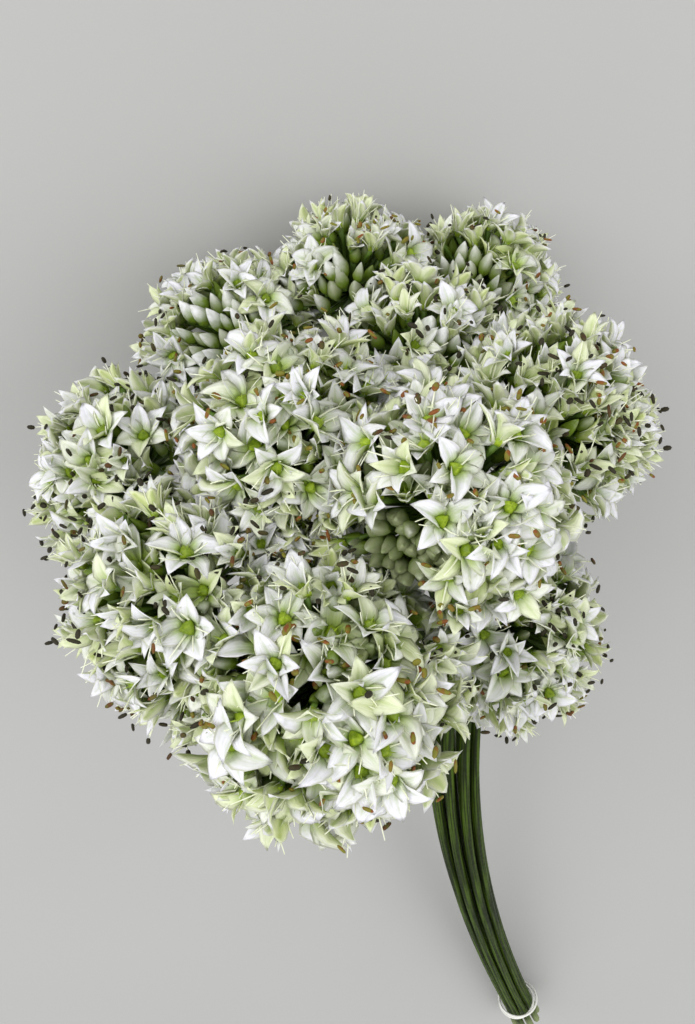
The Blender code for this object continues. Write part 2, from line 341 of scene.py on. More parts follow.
class ChiveColours(bpy.types.PropertyGroup):
    tepal: colour_property("Tepal", "#F2F1FC", "White of the open tepals")
    tepal_vein: colour_property("Tepal vein", "#D1D4CA", "Grey of the fine veins in a tepal")
    # Painted light along a tepal's thin edge
    tepal_edge_light: colour_property("Tepal edge", "#F5FBD3", "Pale green of a tepal's thin edge")
    tepal_foot: colour_property("Tepal foot", "#98B52F", "Green of a tepal's foot and midrib")
    tepal_back: colour_property("Tepal back", "#D5DD9C", "Green white of a tepal's outer side")
    tepal_young: colour_property("Young tepal", "#D9E593", "Lime of a tepal that is still opening")
    # Painted shade of tepals deep inside a head
    painted_inner_shade: colour_property("Inner green", "#A2B33E", "Khaki green of tepals deep inside a head")
    bud: colour_property("Bud", "#F0F0F5", "White of the closed buds")
    # Painted shade of buds deep inside a head
    bud_shade: colour_property("Bud shade", "#7C864B", "Khaki green of buds deep inside a head")
    bud_foot: colour_property("Bud foot", "#698022", "Green at the foot and ribs of a bud")
    ovary: colour_property("Ovary", "#A7C12F", "Yellow green of the ovary")
    ovary_old: colour_property("Old ovary", "#7C9222", "Duller green of the oldest ovaries")
    # Painted shade in an ovary's grooves; the same green darkens its foot and spots
    ovary_spots_and_groove_shade: colour_property("Ovary groove", "#5C781C", "Dark green between an ovary's lobes")
    filament: colour_property("Filament", "#FBFDEA", "Greenish white of the filaments")
    # Painted shade of filaments inside a head
    filament_shade: colour_property("Filament shade", "#E4EBBD", "Green white of filaments inside a head")
    anther_fresh: colour_property("Fresh anther", "#7A7E2B", "Yellow green of the youngest anthers")
    anther_ripe: colour_property("Ripe anther", "#844D23", "Rust brown of the ripe anthers")
    anther_dry: colour_property("Dry anther", "#2D291A", "Near black of the dried anthers")
    pedicel: colour_property("Pedicel", "#62822F", "Green of the florets' stalks")
    # Painted shade of stalks deep inside a head
    pedicel_shade: colour_property("Pedicel shade", "#4B6221", "Dark green of stalks deep inside a head")
    stem: colour_property("Stem", "#162103", "Dark green of the stems")
    stem_streak: colour_property("Stem streak", "#486010", "Lighter green of the stems' streaks")
    cut_end: colour_property("Cut end", "#C3D297", "Pale green of a cut stem's pith")
    band: colour_property("Elastic band", "#F2F2EE", "White of the elastic")
    # Painted shade between the elastic's threads
    band_groove_shade: colour_property("Elastic rib", "#E3E3DB", "Grey white between the elastic's threads")
    floor: colour_property("Floor", "#B1B1B1", "Pale grey of the floor")
    floor_cloud: colour_property("Floor cloud", "#ADADAD", "Grey of the floor's faint unevenness")
    world: colour_property("World", "#F4F4F1", "White of the light from all round")


# ---------------------------------------------------------------- the bunch's plan


def bundle_frame():
    """The unit directions of the bundle: towards the heads, sideways, and up across the bundle."""
    along = (NECK_CENTRE - TIE_CENTRE).normalized()
    side = Vector((1.0, 0.0, 0.0))
    return along, side, side.cross(along) * -1.0


def facing_of(centre):
    """The way a head looks: partly away from the neck, where its stem comes from, partly out of the dome."""
    from_neck = (centre - NECK_CENTRE).normalized()
    from_dome = (centre - DOME_CENTRE).normalized()
    return (from_neck * FACING_FROM_NECK + from_dome * (1.0 - FACING_FROM_NECK)).normalized()


def side_directions(axis):
    first = axis.orthogonal().normalized()
    return first, axis.cross(first).normalized()


def slot_offset(slot):
    """A stem's place across the bundle at the tie."""
    _, side, up = bundle_frame()
    if slot < INNER_STEMS:
        return side * (STEM_PITCH / 2.0 * (1 - 2 * slot))
    angle = math.tau * (slot - INNER_STEMS + 0.5) / OUTER_STEMS
    return (side * math.cos(angle) + up * math.sin(angle)) * OUTER_RING_RADIUS


def hermite(start, start_slope, end, end_slope, t):
    return (
        start * (2 * t**3 - 3 * t**2 + 1)
        + start_slope * (t**3 - 2 * t**2 + t)
        + end * (3 * t**2 - 2 * t**3)
        + end_slope * (t**3 - t**2)
    )


def stem_route(centre, slot):
    """A stem's centre line, from its cut end through the tie and the neck to just under its receptacle."""
    offset = slot_offset(slot)
    facing = facing_of(centre)
    beyond = CUT_BEYOND_TIE + CUT_STAGGER * (slot % 4)
    cut = TIE_CENTRE - TIE_SLOPE * beyond + offset * END_SPREAD
    tie = TIE_CENTRE + offset
    neck = NECK_CENTRE + offset * NECK_SPREAD
    top = centre - facing * (RECEPTACLE_RADIUS + GAP)
    length = (neck - tie).length
    bundled = [
        hermite(tie, TIE_SLOPE * length, neck, NECK_SLOPE * length, step / BUNDLED_STEPS)
        for step in range(BUNDLED_STEPS)
    ]
    pull = (top - neck).length * CURVE_PULL
    flared = [
        hermite(neck, NECK_SLOPE * pull, top, facing * pull, step / FLARED_STEPS)
        for step in range(FLARED_STEPS + 1)
    ]
    return [cut] + bundled + flared


def band_route(points):
    """The band's closed centre line: it goes twice round the bundle, and its two turns cross at one side."""
    along, side, up = bundle_frame()
    inner = OUTER_RING_RADIUS + STEM_RADIUS + GAP + BAND_THICKNESS / 2.0
    lift = BAND_THICKNESS / 2.0 + GAP
    route = []
    for step in range(points):
        turn = 2.0 * math.tau * step / points
        radius = inner + lift * (1.0 + math.sin(turn / 2.0))
        slide = BAND_SPREAD * math.cos(turn / 2.0) + BAND_TILT * math.sin(turn)
        route.append(TIE_CENTRE + (side * math.cos(turn) + up * math.sin(turn)) * radius + along * slide)
    return route


def place(point):
    """A plan point in millimetres as a place in the frame, in metres."""
    return (point + LAY_OFFSET) * MM


# ---------------------------------------------------------------- where the florets stand


def spiral_directions(facing, count, phase):
    """Directions spread evenly over the cap that an umbel fills."""
    first, second = side_directions(facing)
    lowest = math.cos(math.radians(SPREAD))
    for step in range(count):
        height = 1.0 - (step + 0.5) / count * (1.0 - lowest)
        ring = math.sqrt(1.0 - height * height)
        angle = step * GOLDEN_ANGLE + phase
        yield facing * height + (first * math.cos(angle) + second * math.sin(angle)) * ring


def neighbour_planes(head):
    """The planes that bound a head, towards its neighbours and the floor: direction out, and distance."""
    for other in HEADS:
        away = other.centre - head.centre
        if other is not head and away.length < head.reach + other.reach + NEIGHBOUR_GAP:
            yield away.normalized(), away.length * head.reach / (head.reach + other.reach)
    yield Vector((0.0, 0.0, -1.0)), head.centre.z + LAY_OFFSET.z - FLOOR_MARGIN


def reach_in_cell(direction, reach, half_width, planes):
    """How far out a floret can sit along a direction and stay on its own side of each plane."""
    for away, distance in planes:
        toward = direction.dot(away)
        if toward > LEAST_TOWARD:
            across = half_width * math.sqrt(1.0 - toward * toward)
            reach = min(reach, (distance - across) / toward)
    return reach


def count_over(reach, pitch):
    """How many places a spacing of pitch leaves on an umbel's cap."""
    cap_area = math.tau * reach * reach * (1.0 - math.cos(math.radians(SPREAD)))
    return round(cap_area / (pitch * pitch))


class Floret(NamedTuple):
    """A floret or bud: its kind, the way out to its foot, its foot, the way it looks, its own numbers."""

    kind: str
    direction: Vector
    foot: Vector
    axis: Vector
    size: float
    spin: float
    tone: float

    @property
    def is_open(self):
        return self.kind in ("open", "half")


def leaning(chance, direction, most):
    """A direction turned at random by up to most degrees."""
    first, second = side_directions(direction)
    lean = math.radians(most) * math.sqrt(chance.random())
    turn = chance.uniform(0.0, math.tau)
    across = first * math.cos(turn) + second * math.sin(turn)
    return (direction * math.cos(lean) + across * math.sin(lean)).normalized()


def florets_of(head, sizes):
    """All florets and buds of one head, from its row in the plan and a fixed seed."""
    facing = facing_of(head.centre)
    planes = list(neighbour_planes(head))
    chance = random.Random(HEAD_SEED + HEADS.index(head))
    grown_size = 0.5 + 0.5 * head.reach / PLAIN_REACH
    florets = []

    def in_bud_part(direction):
        return head.bud_angle > 0.0 and direction.angle(head.bud_side) < math.radians(head.bud_angle)

    def add(kind, direction, room):
        most = (head.reach - room.inset) * chance.uniform(room.shortest, room.longest)
        length = reach_in_cell(direction, most, room.half_width, planes)
        if length < room.least * head.reach:
            return
        axis = leaning(chance, (direction + facing * UPRIGHT[kind]).normalized(), room.lean)
        size, spin, tone = chance.uniform(SMALLEST, LARGEST), chance.uniform(0, math.tau), chance.random()
        foot = head.centre + direction * length
        florets.append(Floret(kind, direction, foot, axis, size * grown_size, spin, tone))

    open_count = count_over(head.reach, sizes.floret_pitch / MM)
    for direction in spiral_directions(facing, open_count, 0.0):
        if in_bud_part(direction):
            continue
        direction = leaning(chance, direction, OPEN_WANDER)
        kind = "half" if chance.random() < head.half_open else "open"
        add(kind, direction, OPEN_ROOM)
    bud_count = count_over(head.reach, sizes.bud_pitch / MM)
    for direction in spiral_directions(facing, bud_count, BUD_PHASE):
        direction = leaning(chance, direction, BUD_WANDER)
        if in_bud_part(direction):
            kind = "half" if chance.random() < head.opening else "bud"
            add(kind, direction, BUD_ROOM._replace(inset=head.bud_inset))
        elif chance.random() < YOUNG_BUDS:
            add("young", direction, YOUNG_ROOM)
    return florets


def whorl_number(floret):
    """Which of the floret shapes this one has."""
    if floret.kind == "open":
        return int(floret.tone * len(OPEN_BENDS))
    return len(OPEN_BENDS) + int(floret.tone * len(HALF_OPEN_BENDS))


# ---------------------------------------------------------------- small meshes that repeat


def mesh_object(name, build):
    """A new object whose mesh the function build fills."""
    mesh = bpy.data.meshes.new(name)
    bm = bmesh.new()
    build(bm)
    bmesh.ops.recalc_face_normals(bm, faces=bm.faces[:])
    bm.to_mesh(mesh)
    bm.free()
    mesh.shade_smooth()
    return bpy.data.objects.new(name, mesh)


def point_layers(bm, *names):
    """The mesh's layers of one number a point with these names, each made where it isn't there yet."""
    layers = bm.verts.layers.float
    return [layers.get(name) or layers.new(name) for name in names]


def tepal_outline(t):
    """Half a tepal's width at t along it, as a share of its widest: narrow foot, broad middle, sharp tip."""
    return (1.0 - t) ** 1.25 * (0.48 + 3.8 * t) / 1.06


def add_tepal(bm, turn, length, half_width, bend, channel, twist, chance):
    """One closed, thin tepal. bend is its slope at the foot, the middle and the tip; its sides rise into a
    keeled channel, which twists by twist degrees towards the tip. Its edges are a little uneven."""
    along_layer, across_layer, back_layer, own_layer = point_layers(bm, "along", "across", "back", "own")
    own = chance.random()
    spin = Matrix.Rotation(turn, 3, "Z")
    middle = Vector((TEPAL_START, 0.0, 0.0))
    top, bottom = [], []
    for row in range(TEPAL_ROWS):
        t = row / TEPAL_ROWS
        # The slope passes from the foot's to the middle's in the first 0.45 of the way, and then to the tip's.
        slope = bend[0] + (bend[1] - bend[0]) * min(1.0, t * 2.2)
        slope = math.radians(slope + (bend[2] - bend[1]) * max(0.0, t - 0.45) / 0.55)
        forward = Vector((math.cos(slope), 0.0, math.sin(slope)))
        roll = Matrix.Rotation(math.radians(twist) * t, 3, forward)
        normal = roll @ Vector((-math.sin(slope), 0.0, math.cos(slope)))
        sideways = roll @ Vector((0.0, 1.0, 0.0))
        half = half_width * tepal_outline(t)
        row_top, row_bottom = [], []
        for across in TEPAL_COLUMNS:
            uneven = normal * chance.uniform(-1.0, 1.0) * abs(across) * half * UNEVEN_EDGE
            point = middle + sideways * half * across + normal * channel * half * abs(across) ** 1.15 + uneven
            at_edge = abs(across) == 1.0
            for side, kept in ((1.0, row_top), (-1.0, row_bottom)):
                if at_edge and side < 0.0:
                    kept.append(row_top[0 if across < 0.0 else -1])
                    continue
                lift = 0.0 if at_edge else side * TEPAL_THICKNESS / 2.0
                vert = bm.verts.new(spin @ (point + normal * lift))
                vert[along_layer], vert[across_layer], vert[own_layer] = t, abs(across), own
                vert[back_layer] = 0.5 if at_edge else float(side < 0.0)
                kept.append(vert)
        top.append(row_top)
        bottom.append(row_bottom)
        middle = middle + forward * length / TEPAL_ROWS
    tip = bm.verts.new(spin @ middle)
    tip[along_layer], tip[own_layer] = 1.0, own
    for sheet in (top, bottom):
        for near, far in zip(sheet, sheet[1:]):
            for step in range(len(TEPAL_COLUMNS) - 1):
                bm.faces.new((near[step], near[step + 1], far[step + 1], far[step]))
        for step in range(len(TEPAL_COLUMNS) - 1):
            bm.faces.new((sheet[-1][step], sheet[-1][step + 1], tip))
    bm.faces.new(top[0] + bottom[0][3:0:-1])


def whorl_builder(sizes, seed, bend):
    """Six tepals in two whorls of three, the outer ones narrower, each bent and folded its own way."""
    length, half = sizes.tepal_length / MM, sizes.tepal_width / MM / 2.0
    if bend in HALF_OPEN_BENDS:
        half *= HALF_OPEN_WIDTH

    def build(bm):
        chance = random.Random(seed)
        for step in range(FLORET_PARTS):
            outer = step % 2
            sway = chance.uniform(*TEPAL_SWAY)
            channel = FOLDED_CHANNEL if chance.random() < FOLDED_TEPALS else TEPAL_CHANNEL
            add_tepal(
                bm,
                math.tau * step / FLORET_PARTS + chance.uniform(-STRAY, STRAY),
                length * chance.uniform(*TEPAL_LENGTHS),
                half * (OUTER_WHORL_WIDTH if outer else 1.0) * chance.uniform(*TEPAL_WIDTHS),
                (bend[0] + sway, bend[1] + sway, bend[2] + chance.uniform(*TEPAL_TIP_SWAY)),
                chance.uniform(*channel),
                chance.uniform(*TEPAL_TWIST),
                chance,
            )

    return build


def add_lathe(bm, profile, sides, lobes=0, lobe_depth=0.0, matrix=None, own=0.5):
    """A closed turned shape from (radius, height) pairs; both ends have radius 0. Lobes press its outline in,
    and own is a number of its own that its material can read."""
    along_layer, across_layer, own_layer = point_layers(bm, "along", "across", "own")
    matrix = matrix or Matrix.Identity(4)
    low, high = profile[0][1], profile[-1][1]
    rings = []
    for radius, height in profile:
        ring = []
        for side in range(sides if radius > 0.0 else 1):
            angle = math.tau * side / sides
            wave = math.cos(lobes * angle) if lobes else 0.0
            reach = radius * (1.0 + lobe_depth * wave)
            vert = bm.verts.new(matrix @ Vector((reach * math.cos(angle), reach * math.sin(angle), height)))
            vert[along_layer] = (height - low) / (high - low)
            vert[across_layer] = 0.5 + 0.5 * wave
            vert[own_layer] = own
            ring.append(vert)
        rings.append(ring)
    for near, far in zip(rings, rings[1:]):
        for side in range(sides):
            after = (side + 1) % sides
            corners = [near[side % len(near)], near[after % len(near)]]
            corners += [far[after % len(far)], far[side % len(far)]]
            bm.faces.new(list(dict.fromkeys(corners)))


def stamen_routes(sizes, seed, spread_angle):
    """The six filaments' centre lines, each bowed its own way, and the way each anther lies."""
    chance = random.Random(seed)
    length = sizes.filament_length / MM * (HALF_OPEN_STAMENS if spread_angle >= NEARLY_UPRIGHT else 1.0)
    for step in range(FLORET_PARTS):
        turn = Matrix.Rotation(math.tau * step / FLORET_PARTS + chance.uniform(-STRAY, STRAY), 3, "Z")
        angle = math.radians(spread_angle + chance.uniform(*STAMEN_SWAY))
        reach = length * chance.uniform(*STAMEN_LENGTHS)
        bow = Vector([chance.uniform(*limits) for limits in STAMEN_BOWS])
        run = Vector((math.cos(angle), 0.0, math.sin(angle))) * reach
        route = [turn @ (STAMEN_START + run * t + bow * reach * t * t) for t in FILAMENT_POINTS]
        ahead = Vector((math.cos(angle - ANTHER_DROP), 0.0, math.sin(angle - ANTHER_DROP)))
        yield route, leaning(chance, turn @ ahead, ANTHER_LEAN)


def add_strand(bm, route, radii, sides):
    """A closed thin strand along a route, with a radius at each of its points."""
    rings = []
    for number, (where, radius) in enumerate(zip(route, radii)):
        ahead = route[min(number + 1, len(route) - 1)] - route[max(number - 1, 0)]
        first, second = side_directions(ahead.normalized())
        angles = [math.tau * side / sides for side in range(sides)]
        spokes = [(first * math.cos(angle) + second * math.sin(angle)) * radius for angle in angles]
        rings.append([bm.verts.new(where + spoke) for spoke in spokes])
    for near, far in zip(rings, rings[1:]):
        shift = min(range(sides), key=lambda step: (far[step].co - near[0].co).length)
        for side in range(sides):
            after = (side + 1) % sides
            bm.faces.new((near[side], near[after], far[(after + shift) % sides], far[(side + shift) % sides]))
    bm.faces.new(rings[0][::-1])
    bm.faces.new(rings[-1])


def filament_builder(sizes, seed, spread_angle):
    def build(bm):
        for route, _ in stamen_routes(sizes, seed, spread_angle):
            add_strand(bm, route, FILAMENT_RADII, 3)

    return build


def anther_builder(sizes, seed, spread_angle):
    length = sizes.anther_length / MM

    def build(bm):
        chance = random.Random(seed)
        for route, lie in stamen_routes(sizes, seed, spread_angle):
            if chance.random() < DROPPED_ANTHERS:
                continue
            turn = Matrix.Translation(route[-1]) @ lie.to_track_quat("Z", "Y").to_matrix().to_4x4()
            high, wide = length * chance.uniform(*ANTHER_HEIGHTS), length * chance.uniform(*ANTHER_WIDTHS)
            profile = [(0.0, -high), (wide * 0.8, -high * 0.68), (wide, 0.0)]
            profile += [(wide * 0.75, high * 0.7), (0.0, high)]
            add_lathe(bm, profile, sides=6, lobes=2, lobe_depth=0.25, matrix=turn, own=chance.random())

    return build


def ovary_builder(sizes):
    radius = sizes.ovary_radius / MM

    def build(bm):
        profile = [(0.0, -0.3), (radius * 0.8, 0.1), (radius, radius * 0.8), (radius * 0.75, radius * 1.4)]
        profile += [(0.14, radius * 1.62), (0.0, radius * 3.1)]
        add_lathe(bm, profile, sides=9, lobes=3, lobe_depth=0.24)

    return build


def bud_builder(sizes, seed):
    """A closed bud: plump below its middle, with three folds, each bud of its own fullness and length."""
    chance = random.Random(seed)
    radius = sizes.bud_radius / MM * chance.uniform(*BUD_WIDTHS)
    length = sizes.bud_length / MM * chance.uniform(*BUD_LENGTHS)
    full = chance.uniform(*BUD_FULLNESS)

    def build(bm):
        shape = [(0.0, 0.0), (0.36, 0.02), (0.78, 0.14), (1.0, 0.32), (0.93 * full, 0.50)]
        shape += [(0.60 * full, 0.74), (0.24 * full, 0.91), (0.0, 1.0)]
        add_lathe(bm, [(radius * r, length * h) for r, h in shape], sides=9, lobes=3, lobe_depth=0.16)

    return build


def pedicel_builder(sizes, bow):
    """A stalk of unit height that bows sideways and widens under its floret."""
    radius = sizes.pedicel_radius / MM

    def build(bm):
        (along_layer,) = point_layers(bm, "along")
        rings = []
        for step in range(PEDICEL_STEPS + 1):
            t = step / PEDICEL_STEPS
            wide = radius * (PEDICEL_TOP if step == PEDICEL_STEPS else 1.0)
            ring = []
            for side in range(PEDICEL_SIDES):
                angle = math.tau * side / PEDICEL_SIDES
                shift = bow * math.sin(math.pi * t)
                ring.append(bm.verts.new((wide * math.cos(angle) + shift, wide * math.sin(angle), t)))
                ring[-1][along_layer] = t
            rings.append(ring)
        for near, far in zip(rings, rings[1:]):
            for side in range(PEDICEL_SIDES):
                after = (side + 1) % PEDICEL_SIDES
                bm.faces.new((near[side], near[after], far[after], far[side]))
        bm.faces.new(rings[0][::-1])
        bm.faces.new(rings[-1])

    return build


def receptacle_builder():
    """The round knob at a stem's top, where it meets the stem."""

    def build(bm):
        steps = 10
        profile = []
        for step in range(steps + 1):
            angle = math.pi * step / steps
            wide = RECEPTACLE_RADIUS * math.sin(angle) if 0 < step < steps else 0.0
            profile.append((wide, -RECEPTACLE_RADIUS * math.cos(angle)))
        add_lathe(bm, profile, sides=20)

    return build


# ---------------------------------------------------------------- node trees


def set_inputs(tree, node, inputs):
    """Fills a node's sockets. inputs maps the name of a socket in use, or its number among them, to a value,
    to another node's socket, or to a node whose first output in use is meant."""
    for key, value in inputs.items():
        in_use = [socket for socket in node.inputs if socket.enabled]
        socket = in_use[key] if isinstance(key, int) else next(s for s in in_use if s.name == key)
        if isinstance(value, bpy.types.Node):
            value = next(output for output in value.outputs if output.enabled)
        if isinstance(value, bpy.types.NodeSocket):
            tree.links.new(value, socket)
        else:
            socket.default_value = value


def add_node(tree, kind, inputs=None, **settings):
    """Adds a node with its settings and its links."""
    node = tree.nodes.new(kind)
    for key, value in settings.items():
        setattr(node, key, value)
    set_inputs(tree, node, inputs or {})
    return node


def new_geometry_tree(name, named_inputs):
    tree = bpy.data.node_groups.new(name, "GeometryNodeTree")
    tree.interface.new_socket("Geometry", in_out="INPUT", socket_type="NodeSocketGeometry")
    for label, kind in named_inputs:
        tree.interface.new_socket(label, in_out="INPUT", socket_type=kind)
    tree.interface.new_socket("Geometry", in_out="OUTPUT", socket_type="NodeSocketGeometry")
    return tree


def scatter_tree():
    """Puts one of a collection's shapes on each point, turned by its axis and spin and sized by its size."""
    name = "scatter_shapes"
    if name in bpy.data.node_groups:
        return bpy.data.node_groups[name]
    inputs = (("Shapes", "NodeSocketCollection"), ("Material", "NodeSocketMaterial"))
    inputs += (("Centre", "NodeSocketVector"), ("Reach", "NodeSocketFloat"))
    tree = new_geometry_tree(name, inputs)
    given = add_node(tree, "NodeGroupInput")
    shapes = add_node(
        tree,
        "GeometryNodeCollectionInfo",
        {"Collection": given.outputs["Shapes"], "Separate Children": True, "Reset Children": True},
    )
    axis, spin, size, shape = (
        add_node(tree, "GeometryNodeInputNamedAttribute", {"Name": layer}, data_type=kind)
        for layer, kind in PLACING_LAYERS
    )
    aligned = add_node(tree, "FunctionNodeAlignRotationToVector", {"Vector": axis}, axis="Z")
    turn = add_node(tree, "FunctionNodeAxisAngleToRotation", {"Axis": (0.0, 0.0, 1.0), "Angle": spin})
    turned = add_node(
        tree,
        "FunctionNodeRotateRotation",
        {"Rotation": aligned, "Rotate By": turn},
        rotation_space="LOCAL",
    )
    put = add_node(
        tree,
        "GeometryNodeInstanceOnPoints",
        {
            "Points": given.outputs["Geometry"],
            "Instance": shapes,
            "Pick Instance": True,
            "Instance Index": shape,
            "Rotation": turned,
            "Scale": size,
        },
    )
    real = add_node(tree, "GeometryNodeRealizeInstances", {"Geometry": put})
    bent = bent_by_floor(tree, real)
    marked = with_depth(tree, bent, given.outputs["Centre"], given.outputs["Reach"])
    material = given.outputs["Material"]
    dressed = add_node(tree, "GeometryNodeSetMaterial", {"Geometry": marked, "Material": material})
    add_node(tree, "NodeGroupOutput", {0: dressed})
    return tree


def with_depth(tree, geometry, centre, reach):
    """Stores how far out in its head each point lies, as a share of the head's reach."""
    where = add_node(tree, "GeometryNodeInputPosition")
    apart = add_node(tree, "ShaderNodeVectorMath", {0: where, 1: centre}, operation="DISTANCE")
    share = add_node(tree, "ShaderNodeMath", {0: apart, 1: reach}, operation="DIVIDE")
    values = {"Geometry": geometry, "Name": "outward", "Value": share}
    return add_node(tree, "GeometryNodeStoreNamedAttribute", values, data_type="FLOAT", domain="POINT")


def bent_by_floor(tree, geometry):
    """Bends what would reach into the floor along it: heights under SOFT_HEIGHT go towards a tenth of it."""
    low, soft = SOFT_HEIGHT * 0.1 * MM, SOFT_HEIGHT * 0.9 * MM
    where = add_node(tree, "GeometryNodeInputPosition")
    parts = add_node(tree, "ShaderNodeSeparateXYZ", {0: where}).outputs
    below = add_node(tree, "ShaderNodeMath", {0: parts["Z"], 1: low + soft}, operation="SUBTRACT")
    below = add_node(tree, "ShaderNodeMath", {0: below, 1: 0.0}, operation="MINIMUM")
    share = add_node(tree, "ShaderNodeMath", {0: below, 1: soft}, operation="DIVIDE")
    power = add_node(tree, "ShaderNodeMath", {0: share}, operation="EXPONENT")
    bent = add_node(tree, "ShaderNodeMath", {0: power, 1: soft}, operation="MULTIPLY")
    bent = add_node(tree, "ShaderNodeMath", {0: bent, 1: low}, operation="ADD")
    height = add_node(tree, "ShaderNodeMath", {0: parts["Z"], 1: bent}, operation="MAXIMUM")
    point = add_node(tree, "ShaderNodeCombineXYZ", {"X": parts["X"], "Y": parts["Y"], "Z": height})
    return add_node(tree, "GeometryNodeSetPosition", {"Geometry": geometry, "Position": point})


def tube_tree():
    """Sweeps a ridged round outline along a route, and keeps each point's place round and along it."""
    name = "sweep_tube"
    if name in bpy.data.node_groups:
        return bpy.data.node_groups[name]
    inputs = (("Radius", "NodeSocketFloat"), ("Ridge Height", "NodeSocketFloat"), ("Ridges", "NodeSocketInt"))
    inputs += (("Sides", "NodeSocketInt"), ("Step", "NodeSocketFloat"), ("Caps", "NodeSocketBool"))
    inputs += (("Material", "NodeSocketMaterial"),)
    tree = new_geometry_tree(name, inputs)
    given = add_node(tree, "NodeGroupInput").outputs
    outline = add_node(
        tree, "GeometryNodeCurvePrimitiveCircle", {"Resolution": given["Sides"], "Radius": given["Radius"]}
    )
    share = add_node(tree, "GeometryNodeSplineParameter").outputs["Factor"]
    angle = add_node(tree, "ShaderNodeMath", {0: share, 1: math.tau}, operation="MULTIPLY")
    ridge_angle = add_node(tree, "ShaderNodeMath", {0: angle, 1: given["Ridges"]}, operation="MULTIPLY")
    wave = add_node(tree, "ShaderNodeMath", {0: ridge_angle}, operation="COSINE")
    height = add_node(tree, "ShaderNodeMath", {0: wave, 1: given["Ridge Height"]}, operation="MULTIPLY")
    where = add_node(tree, "GeometryNodeInputPosition")
    outward = add_node(tree, "ShaderNodeVectorMath", {0: where}, operation="NORMALIZE")
    offset = add_node(tree, "ShaderNodeVectorMath", {0: outward, "Scale": height}, operation="SCALE")
    ridged = add_node(tree, "GeometryNodeSetPosition", {"Geometry": outline, "Offset": offset})
    round_x = add_node(tree, "ShaderNodeMath", {0: angle}, operation="COSINE")
    round_y = add_node(tree, "ShaderNodeMath", {0: angle}, operation="SINE")
    round_at = add_node(tree, "ShaderNodeCombineXYZ", {"X": round_x, "Y": round_y})
    marked = add_node(
        tree,
        "GeometryNodeStoreNamedAttribute",
        {"Geometry": ridged, "Name": "round", "Value": round_at},
        data_type="FLOAT_VECTOR",
        domain="POINT",
    )
    rail = add_node(
        tree,
        "GeometryNodeResampleCurve",
        {"Curve": given["Geometry"], "Length": given["Step"]},
        mode="LENGTH",
    )
    run = add_node(tree, "GeometryNodeSplineParameter").outputs["Length"]
    rail_marked = add_node(
        tree,
        "GeometryNodeStoreNamedAttribute",
        {"Geometry": rail, "Name": "along", "Value": run},
        data_type="FLOAT",
        domain="POINT",
    )
    swept = add_node(
        tree,
        "GeometryNodeCurveToMesh",
        {"Curve": rail_marked, "Profile Curve": marked, "Fill Caps": given["Caps"]},
    )
    real = add_node(tree, "GeometryNodeRealizeInstances", {"Geometry": swept})
    dressed = add_node(tree, "GeometryNodeSetMaterial", {"Geometry": real, "Material": given["Material"]})
    add_node(tree, "NodeGroupOutput", {0: dressed})
    return tree


# ---------------------------------------------------------------- pieces grown by the trees


def grown(name, source, tree, values):
    """Runs a node tree on a source object and returns the result as a plain mesh; the source is removed."""
    bpy.context.scene.collection.objects.link(source)
    modifier = source.modifiers.new("grow", "NODES")
    modifier.node_group = tree
    for item in tree.interface.items_tree:
        if item.item_type == "SOCKET" and item.in_out == "INPUT" and item.name in values:
            modifier[item.identifier] = values[item.name]
    bpy.context.view_layer.update()
    graph = bpy.context.evaluated_depsgraph_get()
    mesh = bpy.data.meshes.new_from_object(source.evaluated_get(graph), depsgraph=graph)
    mesh.name = name
    data = source.data
    bpy.data.objects.remove(source, do_unlink=True)
    (bpy.data.curves if isinstance(data, bpy.types.Curve) else bpy.data.meshes).remove(data)
    piece = bpy.data.objects.new(name, mesh)
    bpy.context.scene.collection.objects.link(piece)
    mesh.shade_smooth()
    return piece


def seat(piece, slot, *nodes):
    """Hands a finished piece to the frame: it rides on the bunch and stands for the given solids."""
    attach(piece, "root")
    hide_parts(*nodes)
    return piece


class Spot(NamedTuple):
    """Where one small shape goes, the way it looks, its turn, its size, which shape it is, and its tone."""

    where: Vector
    axis: Vector
    spin: float
    size: Vector
    shape: int
    tone: float


def scatter(name, head, spots, shapes, material):
    """Instances shapes on a head's spots, as one mesh."""
    cloud = bpy.data.meshes.new(name + "_spots")
    cloud.from_pydata([place(spot.where) for spot in spots], [], [])
    for label, kind in SPOT_LAYERS:
        layer = cloud.attributes.new(label, kind, "POINT")
        field = "vector" if kind == "FLOAT_VECTOR" else "value"
        for number, spot in enumerate(spots):
            setattr(layer.data[number], field, getattr(spot, label))
    source = bpy.data.objects.new(name + "_spots", cloud)
    values = {"Shapes": shapes, "Material": material, "Centre": place(head.centre), "Reach": head.reach * MM}
    return grown(name, source, scatter_tree(), values)


def shape_collection(name, builders):
    """A collection of small shapes in millimetres, named so that their order is their number."""
    collection = bpy.data.collections.new(name)
    for number, build in enumerate(builders):
        collection.objects.link(mesh_object(f"{name}_{number:02d}", build))
    return collection


def drop_collection(collection):
    for obj in list(collection.objects):
        mesh = obj.data
        bpy.data.objects.remove(obj, do_unlink=True)
        bpy.data.meshes.remove(mesh)
    bpy.data.collections.remove(collection)


def route_curve(name, points, cyclic):
    """A curve object through the given plan points."""
    curve = bpy.data.curves.new(name, "CURVE")
    curve.dimensions = "3D"
    curve.twist_mode = "MINIMUM"
    spline = curve.splines.new("POLY")
    spline.points.add(len(points) - 1)
    for point, where in zip(spline.points, points):
        point.co = (*place(where), 1.0)
    spline.use_cyclic_u = cyclic
    return bpy.data.objects.new(name, curve)


# ---------------------------------------------------------------- materials


